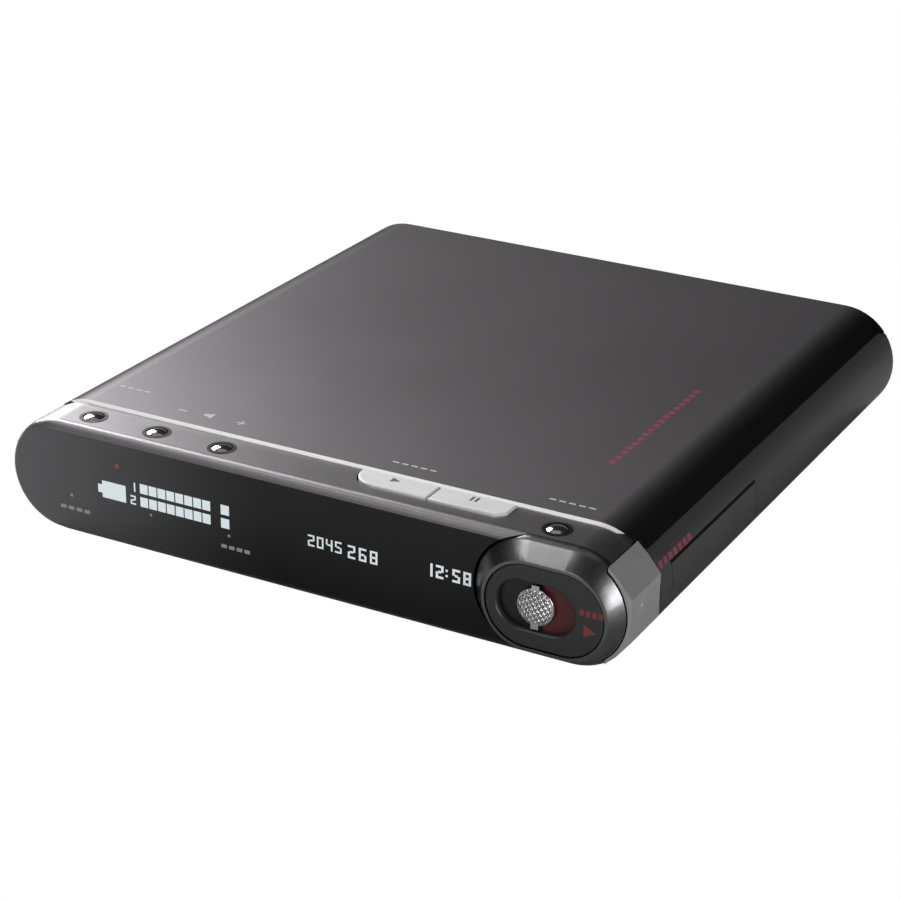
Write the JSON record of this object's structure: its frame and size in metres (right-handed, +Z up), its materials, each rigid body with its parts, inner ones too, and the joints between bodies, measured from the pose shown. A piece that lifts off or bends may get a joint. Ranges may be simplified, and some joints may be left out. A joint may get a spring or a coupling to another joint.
{
  "type": "portable minidisc player",
  "caption": "Pocket disc recorder: flat case with rounded sides, hinged lid, display front, side slides, keys and a record knob.",
  "frame": {"origin": "bottom centre of the bounding box, on the surface it rests on", "axes": "+Z up, display and record knob face -Y, battery door and lid-release slide on +X"},
  "size_m": [0.0812, 0.086, 0.0146],
  "materials": {
    "lid_metal": "satin anodised gunmetal",
    "shell_plastic": "fine satin, near black",
    "window_plastic": "smoked, polished",
    "display_glass": "dark panel with pale blue segments",
    "strip_metal": "brushed dark nickel",
    "pod_metal": "brushed dark nickel",
    "face_plastic": "satin",
    "carriage_red": "deep red",
    "bright_metal": "bright satin",
    "button_chrome": "polished",
    "ring_metal": "gloss black",
    "slide_metal": "cast, satin",
    "inner_plastic": "moulded",
    "board_laminate": "green solder mask",
    "chip_resin": "moulded",
    "bare_steel": "stamped sheet",
    "damper_rubber": "soft",
    "motor_can": "satin",
    "gold_contact": "plated",
    "lens_glass": "coated",
    "battery_sleeve": "printed film",
    "ribbon_film": "amber film"
  },
  "bodies": {
    "base": {"bottom_shell": "shell_plastic", "battery": "battery_sleeve", "battery_contacts": "gold_contact", "main_board": "board_laminate", "board_chips": "chip_resin", "flex_cable": "ribbon_film", "front_frame": "inner_plastic", "display_panel": "display_glass", "display_window": "window_plastic", "control_strip": "strip_metal", "button_rings": "ring_metal", "switch_board": "board_laminate", "tact_switches": "inner_plastic", "rec_pod": "pod_metal", "rec_face": "face_plastic", "rec_switch": "inner_plastic", "mechanism_chassis": "bare_steel", "rubber_dampers": "damper_rubber", "chassis_screws": "bare_steel", "bottom_screws": "ring_metal", "spindle_motor": "motor_can", "guide_rails": "bare_steel", "sled_motor": "motor_can", "headphone_jack": "inner_plastic", "microphone_jack": "inner_plastic", "line_in_jack": "inner_plastic", "usb_port": "bare_steel", "hinge_pins": "bare_steel"},
    "lid": {"top_lid": "lid_metal", "lid_liner": "inner_plastic"},
    "holder": {"disc_holder": "bare_steel", "holder_springs": "bare_steel"},
    "open_slider": {"open_slide": "slide_metal"},
    "hold_slider": {"hold_slide": "slide_metal"},
    "rec_slider": {"rec_carriage": "carriage_red", "rec_knob": "bright_metal"},
    "menu": {"menu_button": "button_chrome"},
    "volume_down": {"volume_down_button": "button_chrome"},
    "volume_up": {"volume_up_button": "button_chrome"},
    "mark": {"mark_button": "button_chrome"},
    "play": {"play_key": "bright_metal"},
    "pause": {"pause_key": "bright_metal"},
    "door": {"battery_door": "shell_plastic"},
    "platter": {"turntable": "bare_steel"},
    "sled": {"optical_pickup": "inner_plastic", "objective_lens": "lens_glass"},
    "screw": {"lead_screw": "bare_steel"}
  },
  "joints": [
    {"name": "lid_hinge", "type": "hinge", "parent": "base", "child": "lid", "pos_m": [0, 0.0419, 0.0129], "axis": [-1, 0, 0], "range_deg": [0, 25]},
    {"name": "holder_hinge", "type": "hinge", "parent": "base", "child": "holder", "pos_m": [0, 0.0419, 0.0129], "axis": [-1, 0, 0], "range_deg": [0, 15]},
    {"name": "open_travel", "type": "slide", "parent": "base", "child": "open_slider", "axis": [0, -1, 0], "range_m": [0, 0.0012], "stiffness_N_per_m": 150},
    {"name": "hold_travel", "type": "slide", "parent": "base", "child": "hold_slider", "axis": [0, 1, 0], "range_m": [0, 0.0012]},
    {"name": "rec_travel", "type": "slide", "parent": "base", "child": "rec_slider", "axis": [1, 0, 0], "range_m": [0, 0.0024], "stiffness_N_per_m": 120},
    {"name": "battery_door_travel", "type": "slide", "parent": "base", "child": "door", "axis": [1, 0, 0], "range_m": [0, 0.02]},
    {"name": "platter_spin", "type": "hinge", "parent": "base", "child": "platter", "pos_m": [0, 0, 0.0065], "axis": [0, 0, 1], "continuous": true},
    {"name": "sled_travel", "type": "slide", "parent": "base", "child": "sled", "axis": [-1, 0, 0], "range_m": [0, 0.0145]},
    {"name": "lead_screw_spin", "type": "hinge", "parent": "base", "child": "screw", "pos_m": [0, 0.013, 0.0045], "axis": [1, 0, 0], "range_deg": [0, 1745]},
    {"name": "menu_press", "type": "slide", "parent": "base", "child": "menu", "axis": [0, 0, -1], "range_m": [0, 0.0003], "stiffness_N_per_m": 600},
    {"name": "volume_down_press", "type": "slide", "parent": "base", "child": "volume_down", "axis": [0, 0, -1], "range_m": [0, 0.0003], "stiffness_N_per_m": 600},
    {"name": "volume_up_press", "type": "slide", "parent": "base", "child": "volume_up", "axis": [0, 0, -1], "range_m": [0, 0.0003], "stiffness_N_per_m": 600},
    {"name": "mark_press", "type": "slide", "parent": "base", "child": "mark", "axis": [0, 0, -1], "range_m": [0, 0.0003], "stiffness_N_per_m": 600},
    {"name": "play_press", "type": "slide", "parent": "base", "child": "play", "axis": [0, 0, -1], "range_m": [0, 0.0003], "stiffness_N_per_m": 600},
    {"name": "pause_press", "type": "slide", "parent": "base", "child": "pause", "axis": [0, 0, -1], "range_m": [0, 0.0003], "stiffness_N_per_m": 600}
  ],
  "couplings": [
    {"joint": "holder_hinge", "follows": "lid_hinge", "ratio": 0.6},
    {"joint": "lead_screw_spin", "follows": "sled_travel", "rad_per_m": 2094.4}
  ]
}
